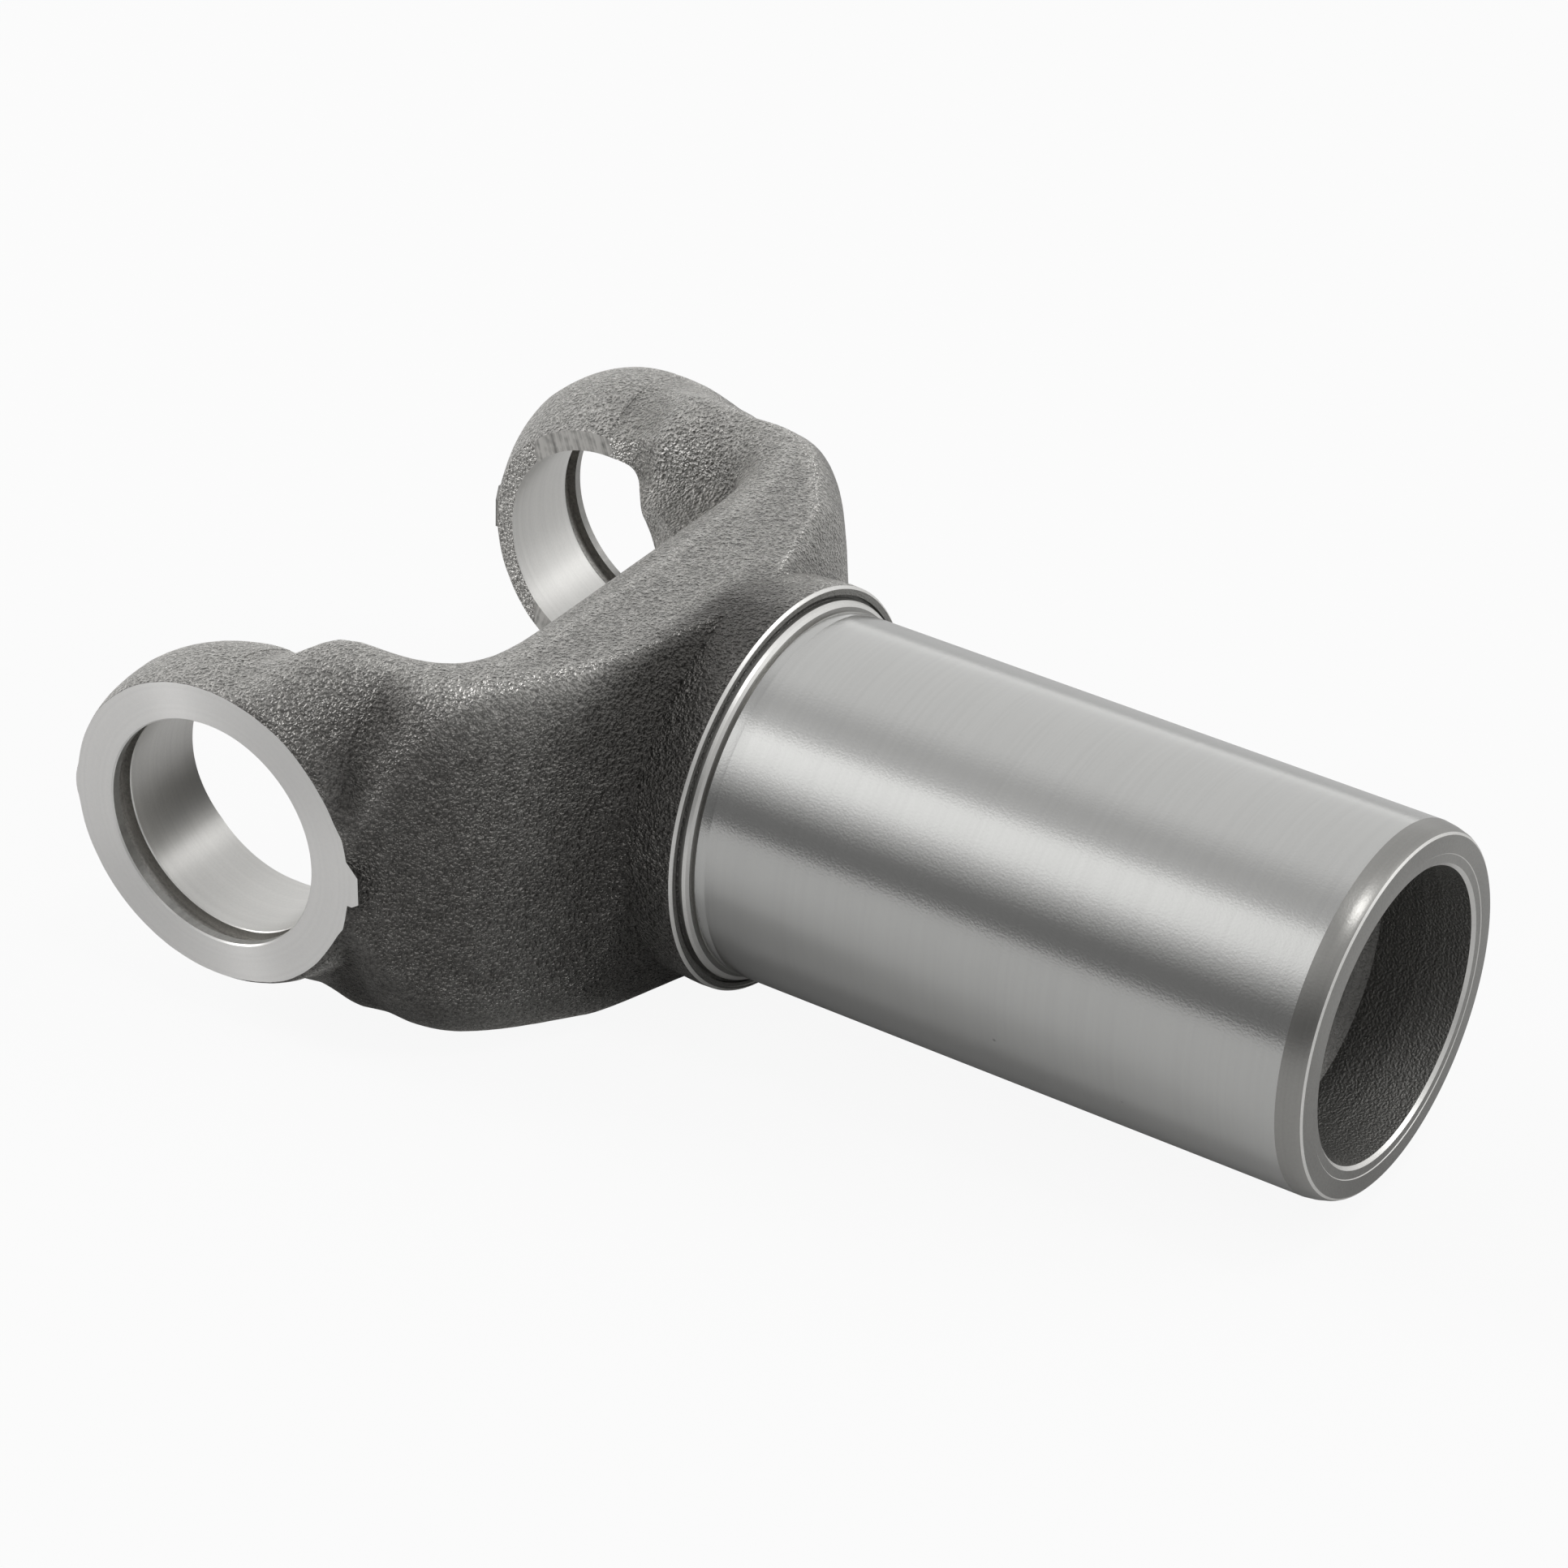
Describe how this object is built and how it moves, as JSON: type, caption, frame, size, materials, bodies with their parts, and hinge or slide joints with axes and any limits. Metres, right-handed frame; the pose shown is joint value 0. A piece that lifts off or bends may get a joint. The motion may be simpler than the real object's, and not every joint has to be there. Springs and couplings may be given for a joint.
{
  "type": "forged slip yoke",
  "caption": "Forged slip yoke: two ears with cross bores and snap ring grooves on a saddle, a collar, and a ground barrel with a splined bore.",
  "frame": {"origin": "where the axis of the cross bore meets the axis of the barrel, midway between the ears", "axes": "+X along the barrel towards its open mouth, +Y along the cross bore, +Z across the forging dies, up as it lies"},
  "size_m": [0.1574, 0.0992, 0.0524],
  "materials": {
    "forged_steel": "shot-blasted forged skin, with bored, milled and ground faces left bare"
  },
  "bodies": {
    "root": {"slip_yoke": "forged_steel"}
  },
  "joints": []
}
